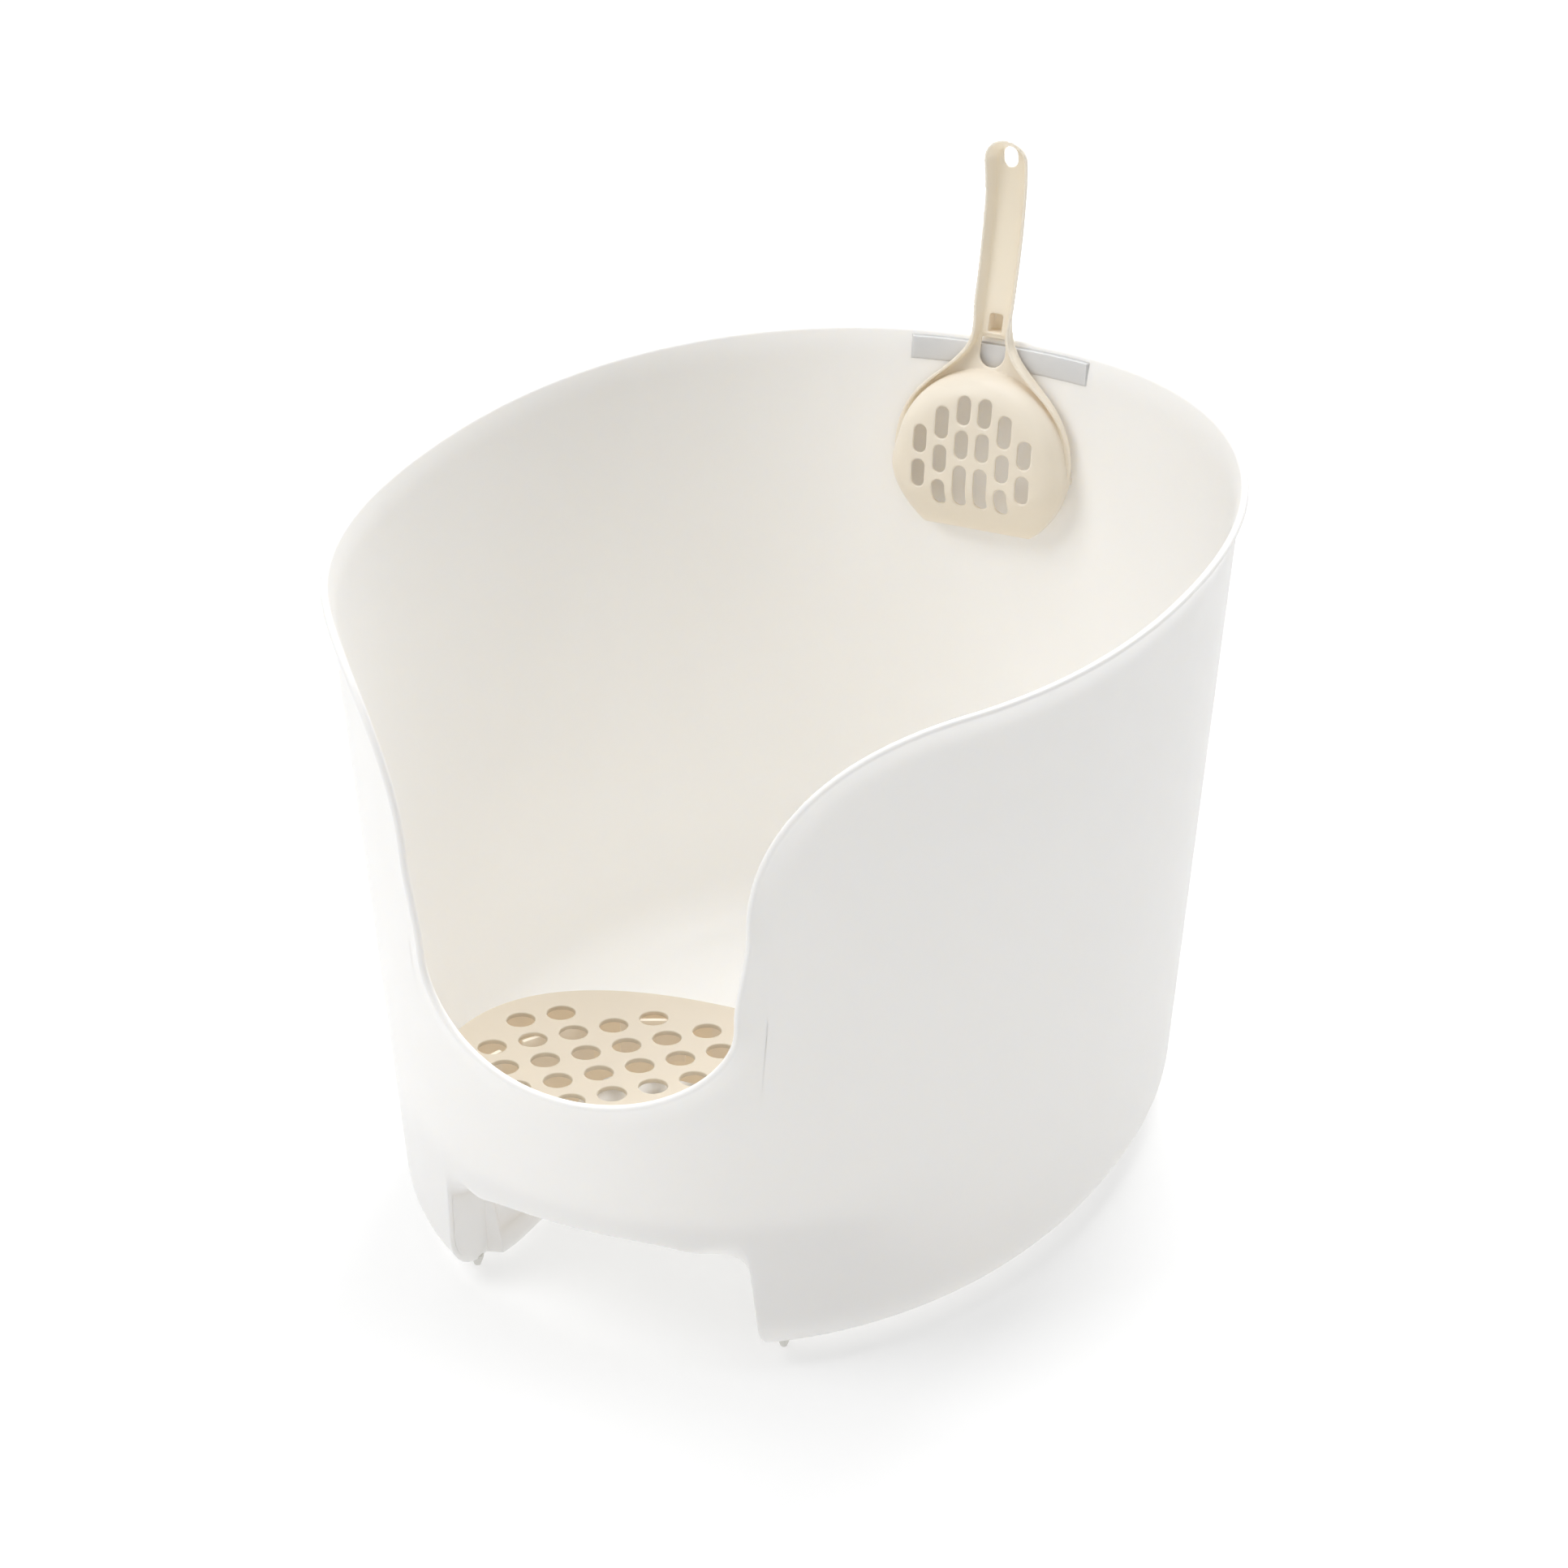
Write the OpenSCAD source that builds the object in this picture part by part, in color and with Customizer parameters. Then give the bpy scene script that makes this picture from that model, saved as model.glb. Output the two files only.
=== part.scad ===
// Open-topped cat litter tub with a cut-down front entry, a lift-out
// perforated step and a slotted scoop hooked over the rear rim.
// Millimetres. +Z is up, the tub stands on its feet at Z = 0, the entry faces -Y.

/* [Tub] */
// Overall length at the rim, front to back
rim_length = 600; // [560:5:640]
// Overall width at the rim
rim_width = 465; // [440:5:490]
// Height of the rim above the ground
rim_height = 385; // [365:5:405]
// Thickness of the moulded wall
wall = 3; // [2.5:0.25:4]
// Thickness of the rounded lip
lip_thickness = 4.6; // [4:0.2:6]
// Outward flare of the lip
lip_flare = 4; // [2:0.5:6]
// Distance over which the wall flares out
lip_reach = 17; // [12:1:20]
// Inward taper of the side walls per unit of height
taper_x = 0.07; // [0.05:0.005:0.09]
// Inward taper of the end walls per unit of height
taper_y = 0.066; // [0.05:0.002:0.09]
// Radius where the wall turns into the base
base_radius = 29; // [24:1:34]
// Gap between the moulded base and the ground
ground_gap = 4.6; // [3:0.2:7]

/* [Entry] */
// Height of the lowest point of the entry
entry_sill = 166; // [150:2:190]
// Half of the entry's width at its lower bend
entry_half_width = 89.5; // [75:0.5:100]
// Height of the lower bend above the sill
entry_bend = 56; // [45:1:65]
// Height of the straight part of the entry's sides
entry_side = 58; // [40:2:70]
// Outward lean of that straight part
entry_side_lean = 7.5; // [4:0.5:12]
// Width of the curve that runs up to the rim
entry_shoulder = 85; // [70:1:90]

/* [Archway under the entry] */
// Half of the archway's width at the ground
arch_half_width = 91; // [80:1:94]
// Height of the archway above the base
arch_height = 78; // [70:0.5:84]
// How much the archway narrows towards its back, each side
arch_narrowing = 12; // [6:1:14]
// Where the raised floor over the archway starts to drop, from the tub's centre
arch_drop_start = 122; // [118:1:130]
// Length of that drop
arch_drop = 36; // [30:1:40]

/* [Step] */
// Height of the step's upper face
step_top = 98.5; // [96:0.5:101]
// Thickness of the perforated plate
step_plate = 3; // [2:0.5:4]
// Half of the step's width
step_half_width = 144.5; // [136:0.5:146]
// Distance of the step's rear edge from the tub's centre
step_rear = 52.5; // [45:0.5:60]
// Gap between the step and the tub
step_gap = 4; // [3:0.5:6]
// Thickness of the skirt and the rib
skirt = 2.4; // [2:0.2:3]
// Diameter of the holes
hole_d = 16.2; // [12:0.2:17]
// Half of the distance between two holes of one row
hole_pitch = 16.8; // [16:0.1:20]
// Radius of the curved rib under the plate
rib_radius = 122; // [110:1:124]
// Depth of the curved rib
rib_depth = 26; // [10:1:27]

/* [Scoop] */
// Radius of the scoop's head
head_radius = 57.5; // [50:0.5:60]
// Distance from the neck to the centre of the head
head_drop = 72; // [70:1:76]
// Distance from the centre of the head to its flat front edge
head_front = 46; // [40:0.5:50]
// Radius of the bowl where it leaves the flange
bowl_radius = 54; // [48:0.5:56]
// Depth of the bowl
bowl_depth = 20; // [14:0.5:22]
// Thickness of the scoop's wall
scoop_wall = 2.2; // [1.8:0.1:2.6]
// Length of the handle above the neck
handle_length = 117.5; // [105:0.5:130]
// Width of the handle's floor
handle_width = 18.8; // [16:0.2:21]
// Height of the handle's side walls
handle_depth = 9.3; // [6:0.1:11]
// Outward lean of the handle's side walls per unit of height
handle_flare = 0.42; // [0.1:0.02:0.5]
// How far the handle bends back behind the head
handle_bend = 17.4; // [12:0.2:19]
// Width of the slots
slot_width = 8.6; // [6:0.2:9]
// Backward lean of the scoop as it hangs, in degrees
scoop_lean = 6.8; // [5:0.2:8]

/* [Feet] */
// Diameter of a foot's shank
foot_d = 7; // [5:0.5:8]
// Diameter of the face that touches the ground
foot_tip_d = 3.6; // [3:0.2:5]

/* [Hidden] */

// Moves the tub's centre so that the whole part is centred on the origin.
centre_shift = [0, -14.6, 0];
cream = [0.91, 0.86, 0.77];
white = [0.95, 0.95, 0.94];
slack = 0.3;
bite = 1;

rim_power = 2.2;
base_power = 2.1;
top_half_x = rim_width / 2 - lip_flare;
top_half_y = rim_length / 2 - lip_flare;
lip_r = lip_thickness / 2;

function mix(a, b, f) = a + (b - a) * f;
function clamp01(f) = min(1, max(0, f));
function smooth(f) = let (c = clamp01(f)) c * c * (3 - 2 * c);
function spow(v, p) = sign(v) * pow(abs(v), p);

// The wall's plan shape is a soft oval that shrinks towards the base.
function half_x(z) = top_half_x - taper_x * (rim_height - z);
function half_y(z) = top_half_y - taper_y * (rim_height - z);
function power_at(z) = mix(base_power, rim_power, z / rim_height);
// Point at turn t (0 front, 90 right, 180 rear), moved out by o along the plan's normal.
function wall_point(t, z, o) =
    let (a = half_x(z), b = half_y(z), n = power_at(z),
         x = spow(sin(t), 2 / n), y = -spow(cos(t), 2 / n),
         g = [spow(x, n - 1) / a, spow(y, n - 1) / b])
    [a * x + o * g.x / norm(g), b * y + o * g.y / norm(g), z];
// Turn at which the wall at height z reaches a given x.
function turn_at(x, z) = asin(clamp01(pow(clamp01(x / half_x(z)), power_at(z) / 2)));

// ---- Columns of the tub's skin, counted from the front centre to the rear centre.
n_bend = 8;
n_side = 4;
n_shoulder = 8;
n_flank = 4;
n_front = n_bend + n_side + n_shoulder;
n_half = 2 * (n_front + n_flank);
n_loop = 2 * n_half;
bend_top = entry_sill + entry_bend;
side_top = bend_top + entry_side;
shoulder_power = 1.85;
shoulder_start = entry_half_width + entry_side_lean;

// x and height of the entry's edge at column i.
function entry_edge(i) =
    i <= n_bend ?
        let (q = 90 * i / n_bend)
        [entry_half_width * sin(q), bend_top - entry_bend * cos(q)]
    : i <= n_bend + n_side ?
        let (f = (i - n_bend) / n_side)
        [entry_half_width + entry_side_lean * smooth(f), bend_top + entry_side * f]
    :   let (q = 90 * (i - n_bend - n_side) / n_shoulder)
        [shoulder_start + entry_shoulder * (1 - pow(cos(q), 2 / shoulder_power)),
         side_top + (rim_height - side_top) * pow(sin(q), 2 / shoulder_power)];

leg_start = 93;
leg_end = 172;
// x at the foot of column i, for the front half.
function base_x(i) =
    i <= n_bend ? 89 * sin(90 * i / n_bend)
    : leg_start + (leg_end - leg_start) * (i - n_bend - 1) / (n_front - n_bend - 1);
base_turns = [for (i = [0 : n_half]) let (k = min(i, n_half - i),
    t = k <= n_front ? turn_at(base_x(k), base_radius + ground_gap)
        : mix(turn_at(leg_end, base_radius + ground_gap), 90, (k - n_front) / n_flank))
    i <= n_half / 2 ? t : 180 - t];
lip_edge_turns = [for (i = [0 : n_front]) let (e = entry_edge(i)) turn_at(e[0], e[1])];
lip_lag = lip_edge_turns[n_front] - base_turns[n_front];
lip_turns = [for (i = [0 : n_half])
    i <= n_front ? lip_edge_turns[i]
    : base_turns[i] + lip_lag * clamp01(1 - (i - n_front) / (2 * n_flank))];
lip_heights = [for (i = [0 : n_half]) i <= n_front ? entry_edge(i)[1] : rim_height];

// Millimetres per degree of turn along the lip.
function pace(i) = norm(wall_point(lip_turns[i] + 0.5, lip_heights[i], 0)
                        - wall_point(lip_turns[i] - 0.5, lip_heights[i], 0));
// Turn and height at a distance d from the lip, measured square to the lip.
lip_squares = [for (i = [0 : n_half])
    let (j = max(0, i - 1), k = min(n_half, i + 1), m = pace(i),
         u = (lip_turns[k] - lip_turns[j]) * m, v = lip_heights[k] - lip_heights[j],
         l = norm([u, v]))
    i == 0 || i >= n_front ? [0, -1] : [v / l / m, -u / l]];
function from_lip(i, d) = [lip_turns[i] + lip_squares[i][0] * d,
                           lip_heights[i] + lip_squares[i][1] * d];
function flare_at(d) = pow(clamp01((lip_reach - d) / (lip_reach - lip_r)), 2);
function skin_out(d) = lip_flare * flare_at(d);
function skin_in(d) = skin_out(d) - mix(wall, lip_thickness, flare_at(d));

arch_power = 3.8;
// ---- Archway: height of its ceiling over column k, and the turn radius at its foot.
function arch_ceiling(x) = x >= arch_half_width ? ground_gap
    : ground_gap + arch_height * pow(1 - pow(x / arch_half_width, arch_power), 1 / arch_power);
foot_heights = [for (i = [0 : n_half]) i > n_front ? ground_gap : arch_ceiling(base_x(i))];
function foot_radius(i) = i > n_front ? base_radius
    : mix(2, base_radius, smooth((base_x(i) - 58) / 32));
// Across the archway's side the skin's thickness is measured square to it.
ceiling_squares = [for (i = [0 : n_half])
    let (a = foot_heights[max(0, i - 1)], b = foot_heights[min(n_half, i + 1)],
         s = i > n_bend + 1 ? 0 : i == 0 ? 0
             : (b - a) / (base_x(i + 1) - base_x(i - 1)))
    [-s, 1] / norm([s, 1])];

// A skin row lists [turn, height, offset] for every column of one half.
function lip_arc_row(q) = [for (i = [0 : n_half])
    let (p = from_lip(i, lip_r * (1 - sin(q)))) [p[0], p[1], lip_flare - lip_r * (1 - cos(q))]];
function near_lip_row(d, inner) = [for (i = [0 : n_half])
    let (p = from_lip(i, d)) [p[0], p[1], inner ? skin_in(d) : skin_out(d)]];
function mid_row(f, inner) = [for (i = [0 : n_half])
    let (p = from_lip(i, lip_reach),
         q = [base_turns[i], foot_heights[i] + foot_top(i, inner)])
    [mix(p[0], q[0], f), mix(p[1], q[1], f), inner ? -wall : 0]];
function foot_top(i, inner) = inner ? wall + max(foot_radius(i) - wall, 6) : foot_radius(i);
// Beside the archway the turn from wall to base keeps its distance across.
function keep_x(i) = clamp01((n_front - min(i, n_half - i)) / (n_front - n_bend - 1));
function held_turn(z, out, want, t, n) = n == 0 ? t :
    let (x = wall_point(t, z, out).x,
         step = wall_point(t + 0.5, z, out).x - wall_point(t - 0.5, z, out).x)
    held_turn(z, out, want, abs(step) < 0.2 ? t : t + (want - x) / step, n - 1);
function foot_row(q, inner) = [for (i = [0 : n_half])
    let (lift = inner ? wall : 0, r = foot_top(i, inner) - lift,
         z = foot_heights[i] + lift + r * (1 - sin(q)), out = -lift - r * (1 - cos(q)),
         t = base_turns[i],
         want = mix(wall_point(t, z, out).x, wall_point(t, z, -lift).x, keep_x(i)))
    [held_turn(z, out, want, t, 4), z, out]];

quarter = [0, 22.5, 45, 67.5, 90];
reach_steps = [5, 9, 13];
skin_rows = concat(
    [for (q = [90, 67.5, 45, 22.5, 0]) foot_row(q, false)],
    [for (f = [0.66, 0.33, 0]) mid_row(f, false)],
    [for (d = [13, 9, 5]) near_lip_row(d, false)],
    [for (q = [0 : 45 : 180]) lip_arc_row(q)],
    [for (d = reach_steps) near_lip_row(d, true)],
    [for (f = [0, 0.33, 0.66]) mid_row(f, true)],
    [for (q = quarter) foot_row(q, true)]);
function skin_point(s) = wall_point(s[0], s[1], s[2]);
function flip_x(p) = [-p.x, p.y, p.z];
skin_points = [for (row = skin_rows) for (c = [0 : n_loop - 1])
    c <= n_half ? skin_point(row[c]) : flip_x(skin_point(row[n_loop - c]))];
n_rows = len(skin_rows);

// ---- Base: lines of points from each front column to the rear column behind it.
base_steps = [0, 0.02, 0.05, 0.1, 0.16, 0.21, 0.24, 0.265, 0.29, 0.31, 0.33, 0.35, 0.375,
              0.41, 0.5, 0.64, 0.78, 0.9, 1];
n_steps = len(base_steps) - 1;
n_lines = n_half / 2;
function arch_fade(y) = 1 - smooth((y + arch_drop_start) / arch_drop);
function arch_squeeze(x, y) =
    let (depth = max(0, y + 222), w = clamp01((150 - x) / 55))
    1 - w * arch_narrowing / arch_half_width * (1 - exp(-depth / 12));
function base_point(k, j, inner) =
    let (i = abs(k), row = inner ? n_rows - 1 : 0,
         a = skin_points[row * n_loop + i], b = skin_points[row * n_loop + n_half - i],
         f = base_steps[j], y = mix(a.y, b.y, f), n = ceiling_squares[i],
         rise = (foot_heights[i] - ground_gap) * arch_fade(inner ? y - 2 : y),
         on = clamp01(rise / 10),
         x = mix(a.x, b.x, f) * arch_squeeze(a.x, y) + (inner ? wall * n[0] * on : 0),
         z = ground_gap + rise + (inner ? wall * mix(1, n[1], on) : 0))
    [k < 0 ? -x : x, y, z];
base_points = [for (inner = [false, true]) for (k = [1 - n_lines : n_lines - 1])
    for (j = [1 : n_steps - 1]) base_point(k, j, inner)];

n_skin = len(skin_points);
n_base = len(base_points) / 2;
function loop_index(k, rear) = let (c = rear ? n_half - k : k) (c + n_loop) % n_loop;
function base_index(k, j, inner) =
    let (ring = inner ? (n_rows - 1) * n_loop : 0)
    abs(k) == n_lines || j == 0 ? ring + loop_index(k, false)
    : j == n_steps ? ring + loop_index(k, true)
    : n_skin + (inner ? n_base : 0) + (k + n_lines - 1) * (n_steps - 1) + j - 1;
function turned(f, flip) = flip ? [f[2], f[1], f[0]] : f;
function whole(f) = f[0] != f[1] && f[1] != f[2] && f[0] != f[2];
base_faces = [for (inner = [false, true]) for (k = [-n_lines : n_lines - 1])
    for (j = [0 : n_steps - 1])
    let (a = base_index(k, j, inner), b = base_index(k + 1, j, inner),
         c = base_index(k + 1, j + 1, inner), d = base_index(k, j + 1, inner))
    for (f = k < 0 ? [[a, b, d], [b, c, d]] : [[a, b, c], [a, c, d]])
    if (whole(f)) turned(f, inner)];
skin_faces = [for (r = [0 : n_rows - 2]) for (c = [0 : n_loop - 1])
    let (e = (c + 1) % n_loop, a = r * n_loop + c, b = r * n_loop + e,
         d = a + n_loop, g = b + n_loop)
    for (f = c < n_half ? [[a, d, g], [a, g, b]] : [[a, d, b], [d, g, b]]) f];

module tub() {
    color(white) translate(centre_shift)
        polyhedron(concat(skin_points, base_points), concat(skin_faces, base_faces));
}

// ---- Step: its rear edge is a soft curve, its front follows the inside of the tub.
step_middle = -150;
step_rear_power = 2.5;
step_corner = 24;
inside_x = half_x(step_top) - wall - step_gap;
inside_y = half_y(step_top) - wall - step_gap;
function step_front_y(x) = -inside_y * pow(1 - pow(abs(x) / inside_x, base_power), 1 / base_power);
function step_outline(inset, n) =
    let (w = step_half_width - inset, d = -step_rear - inset - step_middle,
         last = w - 6)
    concat(
        [for (i = [0 : n]) let (q = 180 * i / n)
            [w * spow(cos(q), 2 / step_rear_power),
             step_middle + d * pow(sin(q), 2 / step_rear_power)]],
        [for (i = [-n / 2 : n / 2]) let (x = 2 * last * i / n)
            [x, step_front_y(x) + inset]]);

module step_holes() {
    for (k = [-8 : 8], m = [-8 : 6])
        if ((k + m + 21) % 2 == 0) {
            x = k * hole_pitch;
            y = step_middle + m * hole_pitch;
            q = pow(abs(x) / (step_half_width - 23), 2.6)
                + pow(max(0, y - step_middle) / (-step_rear - step_middle - 28), 2.6);
            if (q < 1.12 && y > step_front_y(x) + 16)
                translate([x, y, step_top - step_plate - bite])
                    cylinder(d = hole_d, h = step_plate + 2 * bite, $fn = 48);
        }
}

// Skirt behind and beside the step, down to the tub's floor.
module step_skirt() {
    floor_z = ground_gap + wall + 1;
    translate([0, 0, floor_z]) linear_extrude(step_top - step_plate - floor_z + slack)
        intersection() {
            difference() {
                polygon(step_outline(0.6, 40));
                polygon(step_outline(0.6 + skirt, 40));
            }
            translate([-step_half_width, step_middle])
                square([2 * step_half_width, 2 * step_half_width]);
        }
}

// Curved rib under the plate, in separate lengths.
module step_rib() {
    centre_y = step_middle - 40;
    translate([0, centre_y, step_top - step_plate - rib_depth])
        difference() {
            cylinder(r = rib_radius, h = rib_depth + slack, $fn = 120);
            translate([0, 0, -bite])
                cylinder(r = rib_radius - skirt, h = rib_depth + 2 * bite + slack, $fn = 120);
            translate([-rib_radius - bite, -2 * rib_radius, -bite])
                cube([2 * rib_radius + 2 * bite, 2 * rib_radius, rib_depth + 3 * bite]);
            for (q = [-66, -38, -13, 13, 38, 66])
                rotate([0, 0, q]) translate([-8, rib_radius - 10, -bite])
                    cube([16, 20, rib_depth + bite]);
        }
}

module step_grate() {
    color(cream) translate(centre_shift) union() {
        difference() {
            translate([0, 0, step_top - step_plate]) linear_extrude(step_plate)
                polygon(step_outline(0, 40));
            step_holes();
        }
        step_skirt();
        step_rib();
    }
}

// ---- Scoop: drawn upright, its neck at the origin, its bowl bulging towards -Y.
scoop_hang = [-5.8, 286.3, 386];
front_edge = -head_drop - head_front;
front_run = 30;
bowl_flat = 27;
bend_low = -60;
bend_high = 88;
half_floor = handle_width / 2;
handle_end = handle_length - half_floor;
fillet_r = 60;
fillet_x = half_floor + fillet_r;
fillet_z = sqrt(pow(head_radius + fillet_r, 2) - pow(fillet_x, 2)) - head_drop;
fillet_turn = atan2(fillet_z + head_drop, fillet_x);
slot_columns = [
    [34, [[-61.5, 17.5], [-83, 17.2]]],
    [20.4, [[-49.4, 20], [-72, 17.2], [-93.2, 16.4]]],
    [6.8, [[-40.2, 17.7], [-61.3, 17.6], [-87.4, 26]]]];

// Bend of the scoop's sheet towards -Y at a height above the neck.
function bend(v) = -handle_bend * (v < bend_low ? 0
    : v < bend_high ? (1 - cos(180 * (v - bend_low) / (bend_high - bend_low))) / 2
    : 1 - 0.33 * pow((v - bend_high) / 34, 2));
// Height of the wall along the scoop's edge.
function rise(v) = v > -8 ? handle_depth + 1.5 * smooth((v - 84) / 24)
    : handle_depth * pow(smooth((v + 84) / 76), 1.3) + 0.6;
function flare(v) = handle_flare * smooth((v + 4) / 26);
// Depth of the bowl over the height v, which falls to nothing at the front edge.
function bowl_cap(v) = bowl_depth * pow(smooth((v - front_edge) / front_run), 0.8);

// Edge of the scoop's right half from the head's turn a0 up to the handle's tip:
// x, height, and the outward direction.
function edge_from(a0) = concat(
    [for (i = [0 : 20]) let (q = mix(a0, fillet_turn, i / 20))
        [head_radius * cos(q), head_radius * sin(q) - head_drop, cos(q), sin(q)]],
    [for (i = [1 : 14]) let (q = 180 + fillet_turn * (1 - i / 14))
        [fillet_x + fillet_r * cos(q), fillet_z + fillet_r * sin(q), -cos(q), -sin(q)]],
    [for (i = [1 : 12]) [half_floor, mix(fillet_z, handle_end, i / 12), 1, 0]],
    [for (i = [1 : 9]) let (q = 90 * i / 9)
        [half_floor * cos(q), handle_end + half_floor * sin(q), cos(q), sin(q)]]);
function both_sides(half) = concat(half,
    [for (i = [len(half) - 2 : -1 : 0]) [-half[i][0], half[i][1], -half[i][2], half[i][3]]]);

// Draws a flat outline in the scoop's XZ plane, from depth a to depth b.
module scoop_layer(a, b) {
    translate([0, -a, 0]) rotate([90, 0, 0]) linear_extrude(b - a) children();
}

// Everything between the depths a and b, measured from the bent sheet's back.
module bent_slab(a, b) {
    n = 72;
    heights = [for (i = [0 : n]) mix(front_edge - bite, handle_length + 6, i / n)];
    translate([-head_radius - bite, 0, 0]) rotate([90, 0, 90])
        linear_extrude(2 * (head_radius + bite))
            polygon(concat([for (v = heights) [-bend(v) - a, v]],
                           [for (i = [n : -1 : 0]) [-bend(heights[i]) - b, heights[i]]]));
}

module scoop_sheet() {
    intersection() {
        bent_slab(0, scoop_wall);
        scoop_layer(-30, 30)
            polygon([for (p = both_sides(edge_from(-asin(head_front / head_radius))))
                [p[0], p[1]]]);
    }
}

// Wall that runs round the scoop's edge, low beside the head and high on the handle.
module scoop_rim() {
    stations = both_sides(edge_from(-12));
    sunk = 0.5;
    points = [for (s = stations) let (t = rise(s[1]), g = flare(s[1]) * t)
        for (c = [[-scoop_wall, sunk], [-0.05, sunk], [g, t], [g - scoop_wall + 0.5, t]])
            let (v = s[1] + c[0] * s[3]) [s[0] + c[0] * s[2], -bend(v) - c[1], v]];
    last = 4 * (len(stations) - 1);
    polyhedron(points, concat([[3, 2, 1, 0]], [[last, last + 1, last + 2, last + 3]],
        [for (i = [0 : 4 : last - 4]) for (c = [0 : 3]) let (d = (c + 1) % 4)
            for (f = [[i + c, i + d, i + 4 + d], [i + c, i + 4 + d, i + 4 + c]]) f]));
}

module slot(x, z, l) {
    straight = l - slot_width;
    for (s = [-1, 1]) translate([x, z + s * straight / 2]) circle(d = slot_width, $fn = 24);
    translate([x - slot_width / 2, z - straight / 2]) square([slot_width, straight]);
}

// Domed bowl; its back is open and its front falls to the flat edge.
module bowl(inset, behind) {
    n = 9;
    r = bowl_radius - inset;
    radii = [for (i = [0 : n]) mix(r, bowl_flat, pow(i / n, 2))];
    v_steps = [for (i = [0 : 12]) mix(front_edge, front_edge + front_run, i / 12)];
    intersection() {
        translate([0, 0, -head_drop]) rotate([90, 0, 0]) rotate_extrude($fn = 96)
            polygon(concat([[0, -behind], [r, -behind]],
                [for (q = radii) [q, (bowl_depth - inset)
                    * sqrt(1 - pow((q - bowl_flat) / (r - bowl_flat), 2.2))]],
                [[0, bowl_depth - inset]]));
        translate([-head_radius, 0, 0]) rotate([90, 0, 90]) linear_extrude(2 * head_radius)
            polygon(concat([[behind, 0], [behind, front_edge]],
                [for (v = v_steps) [inset - bowl_cap(v), v]],
                [[inset - bowl_depth, 0]]));
    }
}

module scoop_body() {
    difference() {
        union() {
            scoop_sheet();
            scoop_rim();
            intersection() {
                bowl(0, 6);
                bent_slab(0.2, 40);
            }
        }
        bowl(scoop_wall, 8);
        scoop_layer(6, bowl_depth + bite)
            for (c = slot_columns, s = c[1], side = [-1, 1]) slot(side * c[0], s[0], s[1]);
        scoop_layer(-15, 15) {
            translate([0, -8.6]) circle(8.3, $fn = 36);
            translate([-8.3, -8.6]) square([16.6, 11.5]);
        }
        scoop_layer(-30, 30) {
            for (z = [107.8, 111.7]) translate([0, z]) circle(4.6, $fn = 36);
            translate([-4.6, 107.8]) square([9.2, 3.9]);
        }
    }
}

// Hollow boss behind the handle's foot, and the tongue that reaches down behind the rim.
boss_back = -17.5;
boss_low = 0.9;
module boss(half, back, low, high, front) {
    scoop_layer(back, front) translate([-half, low]) square([2 * half, high - low]);
}
module hook() {
    intersection() {
        boss(5.4, boss_back, boss_low, 17.2, 0);
        bent_slab(-20, 1);
    }
    boss(4.4, boss_back, -8, boss_low + bite, boss_back + scoop_wall);
}

module scoop() {
    color(cream) translate(centre_shift + scoop_hang) rotate([-scoop_lean, 0, 0])
        difference() {
            union() {
                scoop_body();
                hook();
            }
            boss(4.2, boss_back + 1.8, 4.4, 15.4, 10);
        }
}

// ---- Feet: soft studs pressed under the base.
front_foot = [94, -216];
rear_foot = [118, 196];
foot_hold = 1.6;
module foot(x, y) {
    color(cream) translate(centre_shift + [x, y, 0]) union() {
        cylinder(d1 = foot_tip_d, d2 = foot_d, h = ground_gap, $fn = 32);
        translate([0, 0, ground_gap]) cylinder(d = foot_d, h = foot_hold, $fn = 32);
    }
}
module foot_front_left() { foot(-front_foot[0], front_foot[1]); }
module foot_front_right() { foot(front_foot[0], front_foot[1]); }
module foot_rear_left() { foot(-rear_foot[0], rear_foot[1]); }
module foot_rear_right() { foot(rear_foot[0], rear_foot[1]); }

tub();
step_grate();
scoop();
foot_front_left();
foot_front_right();
foot_rear_left();
foot_rear_right();
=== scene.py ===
import math

import bmesh
import bpy
import numpy as np
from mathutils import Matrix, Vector


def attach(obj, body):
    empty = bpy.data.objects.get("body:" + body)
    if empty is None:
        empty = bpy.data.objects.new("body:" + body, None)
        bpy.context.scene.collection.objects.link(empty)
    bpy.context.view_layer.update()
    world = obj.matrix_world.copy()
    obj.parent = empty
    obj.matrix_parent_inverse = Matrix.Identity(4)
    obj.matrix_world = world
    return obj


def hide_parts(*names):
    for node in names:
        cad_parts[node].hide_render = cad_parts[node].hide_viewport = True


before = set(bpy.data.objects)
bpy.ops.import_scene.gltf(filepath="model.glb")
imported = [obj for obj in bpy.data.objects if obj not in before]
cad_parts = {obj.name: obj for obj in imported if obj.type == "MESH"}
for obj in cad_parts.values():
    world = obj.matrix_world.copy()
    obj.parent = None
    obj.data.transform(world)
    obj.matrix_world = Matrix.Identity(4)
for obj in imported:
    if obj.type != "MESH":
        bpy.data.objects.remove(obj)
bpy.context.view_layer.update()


MM = 0.001

# ------------------------------------------------------------------ shape maths
def smooth(f):
    """Ease from 0 to 1 with level ends."""
    f = np.clip(f, 0.0, 1.0)
    return f * f * (3 - 2 * f)


def spow(v, p):
    """Power that keeps the sign."""
    return np.sign(v) * np.abs(v) ** p


def mix(a, b, f):
    return a + (b - a) * f


# ------------------------------------------------------------------ the tub's shape
# All lengths are millimetres, with Y counted from the tub's own centre, which
# lies SHIFT_Y from the part's origin.
SHIFT_Y = -14.6
RIM_L, RIM_W, RIM_H = 600.0, 465.0, 385.0
# wall and lip thickness, how far the lip flares out, and how far down the flare reaches
WALL, LIP_T, FLARE, REACH = 3.0, 4.6, 4.0, 17.0
TAPER_X, TAPER_Y = 0.07, 0.066
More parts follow.
